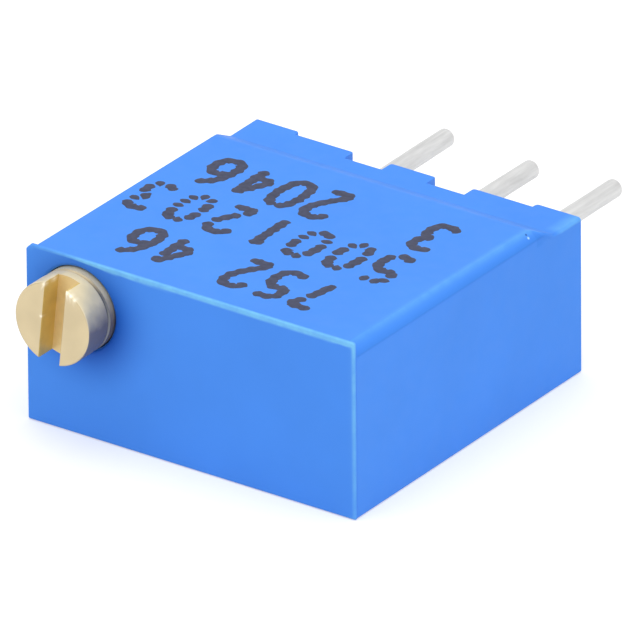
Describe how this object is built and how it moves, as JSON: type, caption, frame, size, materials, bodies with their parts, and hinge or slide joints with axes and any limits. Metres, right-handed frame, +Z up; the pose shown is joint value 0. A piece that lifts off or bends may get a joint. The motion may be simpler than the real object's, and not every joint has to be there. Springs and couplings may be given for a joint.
{
  "type": "trimmer potentiometer",
  "caption": "Square multi-turn trimmer potentiometer: blue moulded body, slotted brass adjustment screw on one side face, round tinned pins in line on the opposite face.",
  "frame": {"origin": "centre of the unmarked broad face that the part lies on", "axes": "+Z up, out of the marked broad face; +Y the way the pins point; -Y the way the screw's head looks; +X to the right of the screw's face"},
  "size_m": [0.0096, 0.0154, 0.0047],
  "materials": {
    "body_plastic": "satin moulded plastic",
    "screw_brass": "bright turned brass",
    "seal_rubber": "matt",
    "spring_steel": "bright spring steel",
    "rotor_plastic": "natural moulded plastic",
    "spring_bronze": "bright stamped sheet",
    "plate_ceramic": "unglazed white ceramic",
    "track_cermet": "fired resistive paste",
    "printed_metal": "fired metal paste",
    "tinned_wire": "dull hot-tinned wire",
    "solder": "dull solder",
    "plug_plastic": "moulded plastic",
    "potting_resin": "cast resin"
  },
  "bodies": {
    "case": {"housing": "body_plastic", "seal_ring": "seal_rubber", "screw_retainer": "spring_steel", "ceramic_substrate": "plate_ceramic", "resistive_track": "track_cermet", "collector_track": "printed_metal", "end_conductor_1": "printed_metal", "end_conductor_3": "printed_metal", "terminal_pin_1": "tinned_wire", "terminal_pin_2": "tinned_wire", "terminal_pin_3": "tinned_wire", "solder_joint_1": "solder", "solder_joint_2": "solder", "solder_joint_3": "solder", "rear_plug": "plug_plastic", "potting_seal": "potting_resin"},
    "screw": {"adjustment_screw": "screw_brass"},
    "rotor": {"gear_rotor": "rotor_plastic", "wiper_spring": "spring_bronze"}
  },
  "joints": [
    {"name": "screw_turn", "type": "hinge", "parent": "case", "child": "screw", "pos_m": [-0.00327, -0.00473, 0.00335], "axis": [0, 1, 0], "range_deg": [-4185, 4185]},
    {"name": "rotor_turn", "type": "hinge", "parent": "case", "child": "rotor", "pos_m": [0.00038, -0.00045, 0.00335], "axis": [0, 0, 1], "range_deg": [-135, 135]}
  ],
  "couplings": [
    {"joint": "rotor_turn", "follows": "screw_turn", "ratio": 0.032258}
  ]
}
